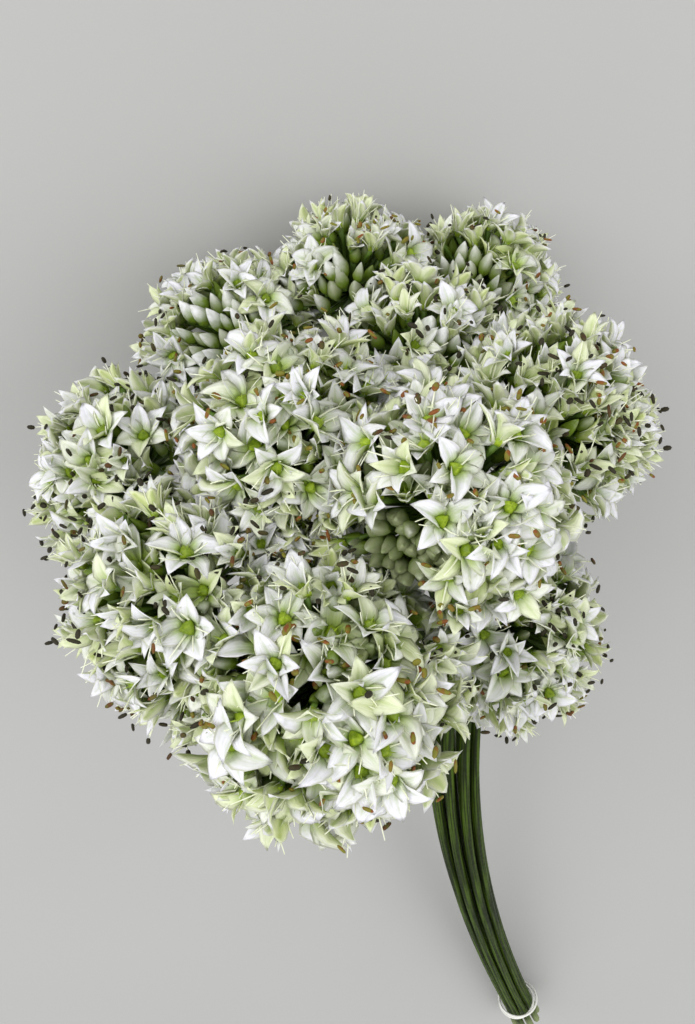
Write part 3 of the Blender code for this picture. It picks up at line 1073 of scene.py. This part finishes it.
def new_material(name, roughness, specular, layers=()):
    """A new material, its node tree and shader, the socket of object coordinates, and sockets for the numbers
    that its pieces' points hold."""
    material = bpy.data.materials.new(name)
    material.use_nodes = True
    tree = material.node_tree
    shader = tree.nodes["Principled BSDF"]
    set_inputs(tree, shader, {"Roughness": roughness, "Specular IOR Level": specular})
    where = add_node(tree, "ShaderNodeTexCoord").outputs["Object"]
    held = [add_node(tree, "ShaderNodeAttribute", attribute_name=layer).outputs["Fac"] for layer in layers]
    return material, tree, shader, where, held


def blotches(where, size_mm, detail=2.0):
    """The inputs of a noise whose spots are about size_mm across."""
    return {"Vector": where, "Scale": 1.0 / (size_mm * MM), "Detail": detail}


def span(value, low, high, to_low=0.0, to_high=1.0):
    """The inputs that carry a value from one range to another."""
    return {"Value": value, "From Min": low, "From Max": high, "To Min": to_low, "To Max": to_high}


def between(factor, first, second):
    """The inputs that mix two colours."""
    return {"Factor": factor, "A": first, "B": second}


def tepal_tissue(colours):
    """Fresh tepal tissue: thin and soft, so light passes into it; its foot, midrib and back show green."""
    layers = ("along", "across", "back", "own", "tone", "outward")
    material, tree, shader, where, held = new_material("tepal_tissue", 0.6, 0.25, layers)
    along, across, back, own, tone, outward = held
    own = add_node(tree, "ShaderNodeMath", {0: own, 1: 0.5}, operation="SUBTRACT")
    tone = add_node(tree, "ShaderNodeMath", {0: tone, 1: own}, operation="ADD")
    # The veins run along a tepal, about 0.5 mm apart, and show in patches, but not at its edge.
    turn = add_node(tree, "ShaderNodeMath", {0: across, 1: VEIN_TURN}, operation="MULTIPLY")
    veins = add_node(tree, "ShaderNodeMath", {0: turn}, operation="SINE")
    shade = add_node(tree, "ShaderNodeMapRange", span(veins, -0.2, 1.0, 0.16, 0.42), **SMOOTH)
    noise = add_node(tree, "ShaderNodeTexNoise", blotches(where, 1.5))
    patches = add_node(tree, "ShaderNodeMapRange", span(noise, 0.35, 0.65, 0.3, 1.0), **SMOOTH)
    shade = add_node(tree, "ShaderNodeMath", {0: shade, 1: patches}, operation="MULTIPLY")
    inside = add_node(tree, "ShaderNodeMapRange", span(across, 0.95, 0.75), **SMOOTH)
    shade = add_node(tree, "ShaderNodeMath", {0: shade, 1: inside}, operation="MULTIPLY")
    face = add_node(tree, "ShaderNodeMix", between(shade, colours.tepal, colours.tepal_vein), **COLOUR)
    young = add_node(tree, "ShaderNodeMapRange", span(tone, 0.40, 1.2, 0.0, 0.6), **SMOOTH)
    face = add_node(tree, "ShaderNodeMix", between(young, face, colours.tepal_young), **COLOUR)
    # Green shows most at the foot, along the midrib towards the foot, and down the midrib's back.
    foot = add_node(tree, "ShaderNodeMapRange", span(along, 0.5, 0.0, 0.0, 0.9), **SMOOTH)
    rib = add_node(tree, "ShaderNodeMapRange", span(across, 0.32, 0.0), **SMOOTH)
    to_foot = add_node(tree, "ShaderNodeMapRange", span(along, 1.0, 0.2, 0.05, 0.4), **SMOOTH)
    rib = add_node(tree, "ShaderNodeMath", {0: rib, 1: to_foot}, operation="MULTIPLY")
    behind = add_node(tree, "ShaderNodeMapRange", span(back, 0.5, 0.9), **SMOOTH)
    back_rib = add_node(tree, "ShaderNodeMapRange", span(across, 0.5, 0.1, 0.0, 0.4), **SMOOTH)
    back_rib = add_node(tree, "ShaderNodeMath", {0: back_rib, 1: behind}, operation="MULTIPLY")
    green = add_node(tree, "ShaderNodeMath", {0: foot, 1: rib}, operation="MAXIMUM")
    green = add_node(tree, "ShaderNodeMath", {0: green, 1: back_rib}, operation="MAXIMUM")
    noise = add_node(tree, "ShaderNodeTexNoise", blotches(where, 3.0))
    spots = add_node(tree, "ShaderNodeMapRange", span(noise, 0.45, 0.75, 0.0, 0.14), **SMOOTH)
    green = add_node(tree, "ShaderNodeMath", {0: green, 1: spots}, operation="ADD")
    behind = add_node(tree, "ShaderNodeMath", {0: behind, 1: 0.6}, operation="MULTIPLY")
    face = add_node(tree, "ShaderNodeMix", between(behind, face, colours.tepal_back), **COLOUR)
    # Painted shade: the depth of a head is painted khaki, for the shade there and the light that has passed
    # through many green layers.
    deep = add_node(tree, "ShaderNodeMapRange", span(outward, 1.0, 0.64, 0.0, 0.9), **SMOOTH)
    face = add_node(tree, "ShaderNodeMix", between(deep, face, colours.painted_inner_shade), **COLOUR)
    face = add_node(tree, "ShaderNodeMix", between(green, face, colours.tepal_foot), **COLOUR)
    # Painted light: the thin edge, which lets the most light through, is painted as a pale line 0.3 mm wide,
    # less where a head is deep.
    edge = add_node(tree, "ShaderNodeMapRange", span(across, 0.8, 1.0), **SMOOTH)
    lit = add_node(tree, "ShaderNodeMath", {0: 0.65, 1: deep}, operation="SUBTRACT")
    edge = add_node(tree, "ShaderNodeMath", {0: edge, 1: lit}, operation="MULTIPLY")
    face = add_node(tree, "ShaderNodeMix", between(edge, face, colours.tepal_edge_light), **COLOUR)
    bump = add_node(tree, "ShaderNodeBump", {"Strength": 0.2, "Distance": 0.0001, "Height": veins})
    set_inputs(tree, shader, {"Base Color": face, "Normal": bump, "Subsurface Weight": 0.12, **TISSUE_DEPTH})
    return material


def bud_tissue(colours):
    """Closed buds: six folded tepals, white with a green foot and green folds, and greener when young."""
    layers = ("along", "across", "tone", "outward")
    material, tree, shader, where, held = new_material("bud_tissue", 0.55, 0.3, layers)
    along, across, tone, outward = held
    foot = add_node(tree, "ShaderNodeMapRange", span(along, 0.78, 0.12), **SMOOTH)
    tip = add_node(tree, "ShaderNodeMapRange", span(along, 0.9, 1.0, 0.0, 0.3), **SMOOTH)
    rib = add_node(tree, "ShaderNodeMapRange", span(across, 0.35, 0.0, 0.0, 0.45), **SMOOTH)
    green = add_node(tree, "ShaderNodeMath", {0: foot, 1: rib}, operation="MAXIMUM")
    green = add_node(tree, "ShaderNodeMath", {0: green, 1: tip}, operation="MAXIMUM")
    noise = add_node(tree, "ShaderNodeTexNoise", blotches(where, 1.4))
    spots = add_node(tree, "ShaderNodeMapRange", span(noise, 0.4, 0.7, 0.0, 0.22), **SMOOTH)
    green = add_node(tree, "ShaderNodeMath", {0: green, 1: spots}, operation="ADD")
    young = add_node(tree, "ShaderNodeMapRange", span(tone, 0.5, 1.2, 0.0, 0.9), **SMOOTH)
    green = add_node(tree, "ShaderNodeMath", {0: green, 1: young}, operation="ADD")
    # Painted shade: buds deep inside a head are painted khaki.
    deep = add_node(tree, "ShaderNodeMapRange", span(outward, 1.0, 0.76, 0.0, 0.85), **SMOOTH)
    face = add_node(tree, "ShaderNodeMix", between(deep, colours.bud, colours.bud_shade), **COLOUR)
    face = add_node(tree, "ShaderNodeMix", between(green, face, colours.bud_foot), **COLOUR)
    set_inputs(tree, shader, {"Base Color": face, "Subsurface Weight": 0.15, **TISSUE_DEPTH})
    return material


def green_skin(name, colour, dark, spot_mm):
    """Smooth living plant skin: one green, darker in soft spots of its own tone, and with painted shade
    towards the middle of a head.
    """
    material, tree, shader, where, (outward,) = new_material(name, 0.5, 0.4, ("outward",))
    noise = add_node(tree, "ShaderNodeTexNoise", blotches(where, spot_mm))
    spots = add_node(tree, "ShaderNodeMapRange", span(noise, 0.35, 0.7, 0.0, 0.6), **SMOOTH)
    # Painted shade: the skin is painted darker towards the middle of a head.
    deep = add_node(tree, "ShaderNodeMapRange", span(outward, 0.9, 0.5, 0.0, 0.8), **SMOOTH)
    shade = add_node(tree, "ShaderNodeMath", {0: spots, 1: deep}, operation="MAXIMUM")
    skin = add_node(tree, "ShaderNodeMix", between(shade, colour, dark), **COLOUR)
    set_inputs(tree, shader, {"Base Color": skin})
    return material


def ovary_skin(colours):
    """The ripening ovary: three glossy yellow-green lobes, with painted shade in the grooves, and darker round
    the foot.
    """
    material, tree, shader, where, held = new_material("ovary_skin", 0.38, 0.4, ("along", "across", "tone"))
    along, across, tone = held
    # Painted shade darkens the grooves between the lobes.
    groove = add_node(tree, "ShaderNodeMapRange", span(across, 0.45, 0.0, 0.0, 0.7), **SMOOTH)
    foot = add_node(tree, "ShaderNodeMapRange", span(along, 0.2, 0.0, 0.0, 0.5), **SMOOTH)
    noise = add_node(tree, "ShaderNodeTexNoise", blotches(where, 0.8))
    spots = add_node(tree, "ShaderNodeMapRange", span(noise, 0.4, 0.65, 0.0, 0.45), **SMOOTH)
    dark = add_node(tree, "ShaderNodeMath", {0: groove, 1: foot}, operation="MAXIMUM")
    dark = add_node(tree, "ShaderNodeMath", {0: dark, 1: spots}, operation="MAXIMUM")
    age = add_node(tree, "ShaderNodeMapRange", span(tone, 0.2, 0.9, 0.0, 0.8), **SMOOTH)
    skin = add_node(tree, "ShaderNodeMix", between(age, colours.ovary, colours.ovary_old), **COLOUR)
    skin = add_node(tree, "ShaderNodeMix", between(dark, skin, colours.ovary_spots_and_groove_shade), **COLOUR)
    grain = add_node(tree, "ShaderNodeTexNoise", blotches(where, 0.6))
    bump = add_node(tree, "ShaderNodeBump", {"Strength": 0.5, "Distance": 0.0003, "Height": grain})
    set_inputs(tree, shader, {"Base Color": skin, "Normal": bump})
    return material


def anther_skin(colours):
    """Pollen sacs: rust brown when ripe, dried to near black, with a dull, grainy face."""
    material, tree, shader, where, held = new_material("anther_skin", 0.7, 0.3, ("across", "own", "tone"))
    across, own, tone = held
    own = add_node(tree, "ShaderNodeMath", {0: own, 1: 0.5}, operation="SUBTRACT")
    own = add_node(tree, "ShaderNodeMath", {0: own, 1: 0.5}, operation="MULTIPLY")
    tone = add_node(tree, "ShaderNodeMath", {0: tone, 1: own}, operation="ADD")
    ripe = add_node(tree, "ShaderNodeMapRange", span(tone, 0.05, 0.35), **SMOOTH)
    skin = add_node(tree, "ShaderNodeMix", between(ripe, colours.anther_fresh, colours.anther_ripe), **COLOUR)
    # A ripe sac is rust on its faces, and still olive where it hasn't opened, in patches about 1 mm long.
    noise = add_node(tree, "ShaderNodeTexNoise", blotches(where, 1.2, 1.0))
    patch = add_node(tree, "ShaderNodeMapRange", span(noise, 0.42, 0.56, 0.0, 0.8), **SMOOTH)
    skin = add_node(tree, "ShaderNodeMix", between(patch, skin, colours.anther_fresh), **COLOUR)
    seam = add_node(tree, "ShaderNodeMapRange", span(across, 0.35, 0.0, 0.0, 0.55), **SMOOTH)
    skin = add_node(tree, "ShaderNodeMix", between(seam, skin, colours.anther_dry), **COLOUR)
    age = add_node(tree, "ShaderNodeMapRange", span(tone, 0.42, 0.8), **SMOOTH)
    skin = add_node(tree, "ShaderNodeMix", between(age, skin, colours.anther_dry), **COLOUR)
    grain = add_node(tree, "ShaderNodeTexNoise", blotches(where, 0.25))
    bump = add_node(tree, "ShaderNodeBump", {"Strength": 0.4, "Distance": 0.0001, "Height": grain})
    set_inputs(tree, shader, {"Base Color": skin, "Normal": bump})
    return material


def stem_skin(colours):
    """A solid flower stem: waxy dark green with lighter streaks along it, paler towards the cut."""
    material, tree, shader, where, (along,) = new_material("stem_skin", 0.48, 0.06, ("along",))
    round_at = add_node(tree, "ShaderNodeAttribute", attribute_name="round").outputs["Vector"]
    # The streaks are a little under 1 mm wide.
    slide = add_node(tree, "ShaderNodeMath", {0: along, 1: 1.0 / (STREAK_LENGTH * MM)}, operation="MULTIPLY")
    slide = add_node(tree, "ShaderNodeCombineXYZ", {"Z": slide})
    across = (STREAKS_ACROSS, STREAKS_ACROSS, 0.0)
    spot = add_node(tree, "ShaderNodeVectorMath", {0: round_at, 1: across}, operation="MULTIPLY")
    spot = add_node(tree, "ShaderNodeVectorMath", {0: spot, 1: slide}, operation="ADD")
    noise = add_node(tree, "ShaderNodeTexNoise", {"Vector": spot, "Scale": 1.0, "Detail": 3.0})
    streak = add_node(tree, "ShaderNodeMapRange", span(noise, 0.42, 0.68, 0.0, 0.9), **SMOOTH)
    skin = add_node(tree, "ShaderNodeMix", between(streak, colours.stem, colours.stem_streak), **COLOUR)
    end = add_node(tree, "ShaderNodeMapRange", span(along, 0.016, 0.002, 0.0, 0.35), **SMOOTH)
    skin = add_node(tree, "ShaderNodeMix", between(end, skin, colours.cut_end), **COLOUR)
    wax = add_node(tree, "ShaderNodeTexNoise", blotches(where, 1.5))
    rough = add_node(tree, "ShaderNodeMapRange", span(wax, 0.3, 0.7, 0.40, 0.58), **SMOOTH)
    bump = add_node(tree, "ShaderNodeBump", {"Strength": 0.25, "Distance": 0.0001, "Height": noise})
    set_inputs(tree, shader, {"Base Color": skin, "Roughness": rough, "Normal": bump})
    return material


def elastic_rubber(colours):
    """White elastic: matt rubber under a fine thread cover, whose turns show as faint ribs 0.5 mm apart, with
    painted shade between the threads.
    """
    material, tree, shader, _, (along,) = new_material("elastic_rubber", 0.75, 0.3, ("along",))
    rate = math.tau / (THREAD_PITCH * MM)
    turn = add_node(tree, "ShaderNodeMath", {0: along, 1: rate}, operation="MULTIPLY")
    ribs = add_node(tree, "ShaderNodeMath", {0: turn}, operation="SINE")
    # Painted shade between the threads, where the ribs dip
    shade = add_node(tree, "ShaderNodeMapRange", span(ribs, -1.0, 1.0, 0.0, 0.25), **SMOOTH)
    cover = add_node(tree, "ShaderNodeMix", between(shade, colours.band, colours.band_groove_shade), **COLOUR)
    bump = add_node(tree, "ShaderNodeBump", {"Strength": 0.5, "Distance": 0.0001, "Height": ribs})
    set_inputs(tree, shader, {"Base Color": cover, "Normal": bump})
    return material


def floor_paint(colours):
    """A plain matt painted floor, with the faintest unevenness."""
    material, tree, shader, where, _ = new_material("floor_paint", 0.85, 0.2)
    noise = add_node(tree, "ShaderNodeTexNoise", blotches(where, 180.0))
    cloud = add_node(tree, "ShaderNodeMapRange", span(noise, 0.3, 0.7, 0.0, 0.5), **SMOOTH)
    paint = add_node(tree, "ShaderNodeMix", between(cloud, colours.floor, colours.floor_cloud), **COLOUR)
    set_inputs(tree, shader, {"Base Color": paint})
    return material


# ---------------------------------------------------------------- operators


def each_head():
    """Each head with its two-digit number, as the solids' names have it."""
    for index, head in enumerate(HEADS):
        yield f"{index + 1:02d}", head


def even(size):
    return Vector((size, size, size)) * MM


class ChiveStems(bpy.types.Operator):
    """Grow the eleven stems, with ridges along them"""

    bl_idname = "chive.stems"
    bl_label = "Stems"

    def execute(self, context):
        sizes = context.scene.chive_stems
        skin = stem_skin(context.scene.chive_colours)
        for number, head in each_head():
            route = route_curve("stem_route", stem_route(head.centre, head.slot), False)
            values = {"Radius": sizes.stem_radius - sizes.ridge_height, "Ridge Height": sizes.ridge_height}
            values.update({"Ridges": STEM_RIDGES, "Sides": STEM_SIDES, "Step": sizes.stem_step})
            values.update({"Caps": True, "Material": skin})
            piece = grown("stem_skin_" + number, route, tube_tree(), values)
            seat(piece, "stem_green", "stem_" + number)
        return {"FINISHED"}


class ChiveBand(bpy.types.Operator):
    """Wind the elastic band twice round the stems"""

    bl_idname = "chive.band"
    bl_label = "Elastic band"

    def execute(self, context):
        sizes = context.scene.chive_stems
        rubber = elastic_rubber(context.scene.chive_colours)
        route = route_curve("band_route", band_route(BAND_STEPS), True)
        values = {"Radius": sizes.band_radius, "Ridge Height": 0.0, "Ridges": 1, "Sides": BAND_SIDES}
        values.update({"Step": sizes.band_step, "Caps": False, "Material": rubber})
        seat(grown("elastic", route, tube_tree(), values), "band_white", "elastic_band")
        return {"FINISHED"}


class ChivePedicels(bpy.types.Operator):
    """Grow each head's receptacle and the stalks of its florets and buds"""

    bl_idname = "chive.pedicels"
    bl_label = "Receptacles and pedicels"

    def execute(self, context):
        sizes, colours = context.scene.chive_florets, context.scene.chive_colours
        skin = green_skin("pedicel_skin", colours.pedicel, colours.pedicel_shade, 4.0)
        shapes = shape_collection("stalk", [pedicel_builder(sizes, bow) for bow in PEDICEL_BOWS])
        knob = shape_collection("knob", [receptacle_builder()])
        for number, head in each_head():
            spots = []
            for floret in florets_of(head, sizes):
                start = head.centre + floret.direction * (RECEPTACLE_RADIUS - PEDICEL_ROOT)
                run = floret.foot - start
                stretch = Vector((1.0, 1.0, run.length)) * MM
                shape = int(floret.tone * len(PEDICEL_BOWS))
                spots.append(Spot(start, run.normalized(), floret.spin, stretch, shape, floret.tone))
            stalks = scatter("pedicels_" + number, head, spots, shapes, skin)
            seat(stalks, "stem_green", "umbel_" + number)
            spot = Spot(head.centre, facing_of(head.centre), 0.0, even(1.0), 0, 0.5)
            seat(scatter("receptacle_" + number, head, [spot], knob, skin), "stem_green", "umbel_" + number)
        drop_collection(shapes)
        drop_collection(knob)
        return {"FINISHED"}


class ChiveTepals(bpy.types.Operator):
    """Open the six tepals of every floret"""

    bl_idname = "chive.tepals"
    bl_label = "Tepals"

    def execute(self, context):
        sizes = context.scene.chive_florets
        tissue = tepal_tissue(context.scene.chive_colours)
        whorls = [whorl_builder(sizes, WHORL_SEED + n, bend) for n, bend in enumerate(BENDS)]
        shapes = shape_collection("whorl", whorls)
        for number, head in each_head():
            spots = []
            for floret in florets_of(head, sizes):
                if not floret.is_open:
                    continue
                least = LEAST_HALF_OPEN_TONE if floret.kind == "half" else 0.0
                tone = least + (1.0 - least) * floret.tone
                size, shape = even(floret.size), whorl_number(floret)
                spots.append(Spot(floret.foot, floret.axis, floret.spin, size, shape, tone))
            seat(scatter("tepals_" + number, head, spots, shapes, tissue), "petal_white", "umbel_" + number)
        drop_collection(shapes)
        return {"FINISHED"}


class ChiveStamens(bpy.types.Operator):
    """Add the filaments, anthers and ovary of every floret"""

    bl_idname = "chive.stamens"
    bl_label = "Stamens and ovaries"

    def execute(self, context):
        sizes, colours = context.scene.chive_florets, context.scene.chive_colours
        stamens = [(STAMEN_SEED + n, angle) for n, angle in enumerate(STAMEN_ANGLES)]
        threads = [filament_builder(sizes, seed, angle) for seed, angle in stamens]
        sacs = [anther_builder(sizes, seed, angle) for seed, angle in stamens]
        thread_skin = green_skin("filament_skin", colours.filament, colours.filament_shade, 2.0)
        parts = {
            "filaments": (threads, thread_skin),
            "anthers": (sacs, anther_skin(colours)),
            "ovaries": ([ovary_builder(sizes) for _ in STAMEN_ANGLES], ovary_skin(colours)),
        }
        for label, (builders, material) in parts.items():
            shapes = shape_collection(label, builders)
            for number, head in each_head():
                spots = []
                for floret in florets_of(head, sizes):
                    if not floret.is_open or (label == "anthers" and floret.spin < ANTHERLESS * math.tau):
                        continue
                    tone = head.ripeness + (floret.tone - 0.5) * AGE_SPREAD
                    size, shape = even(floret.size), whorl_number(floret)
                    spots.append(Spot(floret.foot, floret.axis, floret.spin, size, shape, tone))
                piece = scatter(f"{label}_{number}", head, spots, shapes, material)
                seat(piece, "petal_white", "umbel_" + number)
            drop_collection(shapes)
        return {"FINISHED"}


class ChiveBuds(bpy.types.Operator):
    """Close the buds of every head"""

    bl_idname = "chive.buds"
    bl_label = "Buds"

    def execute(self, context):
        sizes = context.scene.chive_florets
        tissue = bud_tissue(context.scene.chive_colours)
        shapes = shape_collection("bud", [bud_builder(sizes, BUD_SEED + n) for n in range(BUD_SHAPES)])
        for number, head in each_head():
            spots = []
            for floret in florets_of(head, sizes):
                if floret.is_open:
                    continue
                young = floret.kind == "young"
                size = even(floret.size * (YOUNG_SIZE if young else 1.0))
                tone = floret.tone * BUD_TONES + (YOUNG_TONE if young else 0.0)
                shape = int(floret.tone * BUD_SHAPES)
                spots.append(Spot(floret.foot, floret.axis, floret.spin, size, shape, tone))
            seat(scatter("buds_" + number, head, spots, shapes, tissue), "petal_white", "umbel_" + number)
        drop_collection(shapes)
        return {"FINISHED"}


# ---------------------------------------------------------------- the stage


def lay_floor(colours):
    def build(bm):
        bmesh.ops.create_grid(bm, x_segments=1, y_segments=1, size=FLOOR_SIZE)

    floor = mesh_object("floor", build)
    floor.data.materials.append(floor_paint(colours))
    bpy.context.scene.collection.objects.link(floor)


def add_lamp(name, where, target, power, width):
    lamp = bpy.data.lights.new(name, "AREA")
    lamp.energy = power
    lamp.size = width
    obj = bpy.data.objects.new(name, lamp)
    obj.location = where
    obj.rotation_euler = (target - where).to_track_quat("-Z", "Y").to_euler()
    bpy.context.scene.collection.objects.link(obj)


def light_world(colour):
    world = bpy.context.scene.world or bpy.data.worlds.new("studio")
    bpy.context.scene.world = world
    world.use_nodes = True
    background = world.node_tree.nodes["Background"]
    set_inputs(world.node_tree, background, {"Color": colour, "Strength": WORLD_STRENGTH})


def place_camera():
    camera = bpy.data.cameras.new("camera")
    camera.lens = CAMERA_LENS
    camera.sensor_width = 36.0
    camera.clip_start = 0.005
    obj = bpy.data.objects.new("camera", camera)
    tip = Matrix.Rotation(math.radians(90.0 - CAMERA_ELEVATION), 4, "X")
    roll = Matrix.Rotation(math.radians(CAMERA_ROLL), 4, "Z")
    obj.matrix_world = Matrix.Translation(place(DOME_CENTRE + CAMERA_FROM_DOME)) @ tip @ roll
    bpy.context.scene.collection.objects.link(obj)
    bpy.context.scene.camera = obj


class ChiveStage(bpy.types.Operator):
    """Lay the floor, set the lamps and world, and place the camera"""

    bl_idname = "chive.stage"
    bl_label = "Stage"

    def execute(self, context):
        colours = context.scene.chive_colours
        lay_floor(colours)
        heads = place(DOME_CENTRE)
        for name, (offset, power, width) in LAMPS.items():
            add_lamp(name, heads + offset, heads, power, width)
        light_world(colours.world)
        place_camera()
        context.scene.view_settings.view_transform = "Standard"
        return {"FINISHED"}


# ---------------------------------------------------------------- the panel, and running it all


class ChivePanel(bpy.types.Panel):
    """Sizes, colours and steps of the bunch"""

    bl_idname = "VIEW3D_PT_chive_bunch"
    bl_label = "Garlic Chive Bunch"
    bl_space_type = "VIEW_3D"
    bl_region_type = "UI"
    bl_category = "Chive Bunch"

    def draw(self, context):
        for group in (context.scene.chive_florets, context.scene.chive_stems, context.scene.chive_colours):
            box = self.layout.box()
            for name in group.__annotations__:
                box.prop(group, name)
        for step in STEPS:
            self.layout.operator(step.bl_idname)


STEPS = (ChiveStems, ChiveBand, ChivePedicels, ChiveTepals, ChiveStamens, ChiveBuds, ChiveStage)
GROUPS = (ChiveFloretSizes, ChiveStemSizes, ChiveColours)


def register():
    for cls in GROUPS + STEPS + (ChivePanel,):
        bpy.utils.register_class(cls)
    bpy.types.Scene.chive_florets = bpy.props.PointerProperty(type=ChiveFloretSizes)
    bpy.types.Scene.chive_stems = bpy.props.PointerProperty(type=ChiveStemSizes)
    bpy.types.Scene.chive_colours = bpy.props.PointerProperty(type=ChiveColours)


def unregister():
    del bpy.types.Scene.chive_colours
    del bpy.types.Scene.chive_stems
    del bpy.types.Scene.chive_florets
    for cls in reversed(GROUPS + STEPS + (ChivePanel,)):
        bpy.utils.unregister_class(cls)


def main():
    register()
    for step in STEPS:
        category, name = step.bl_idname.split(".")
        getattr(getattr(bpy.ops, category), name)()


if __name__ == "__main__":
    main()
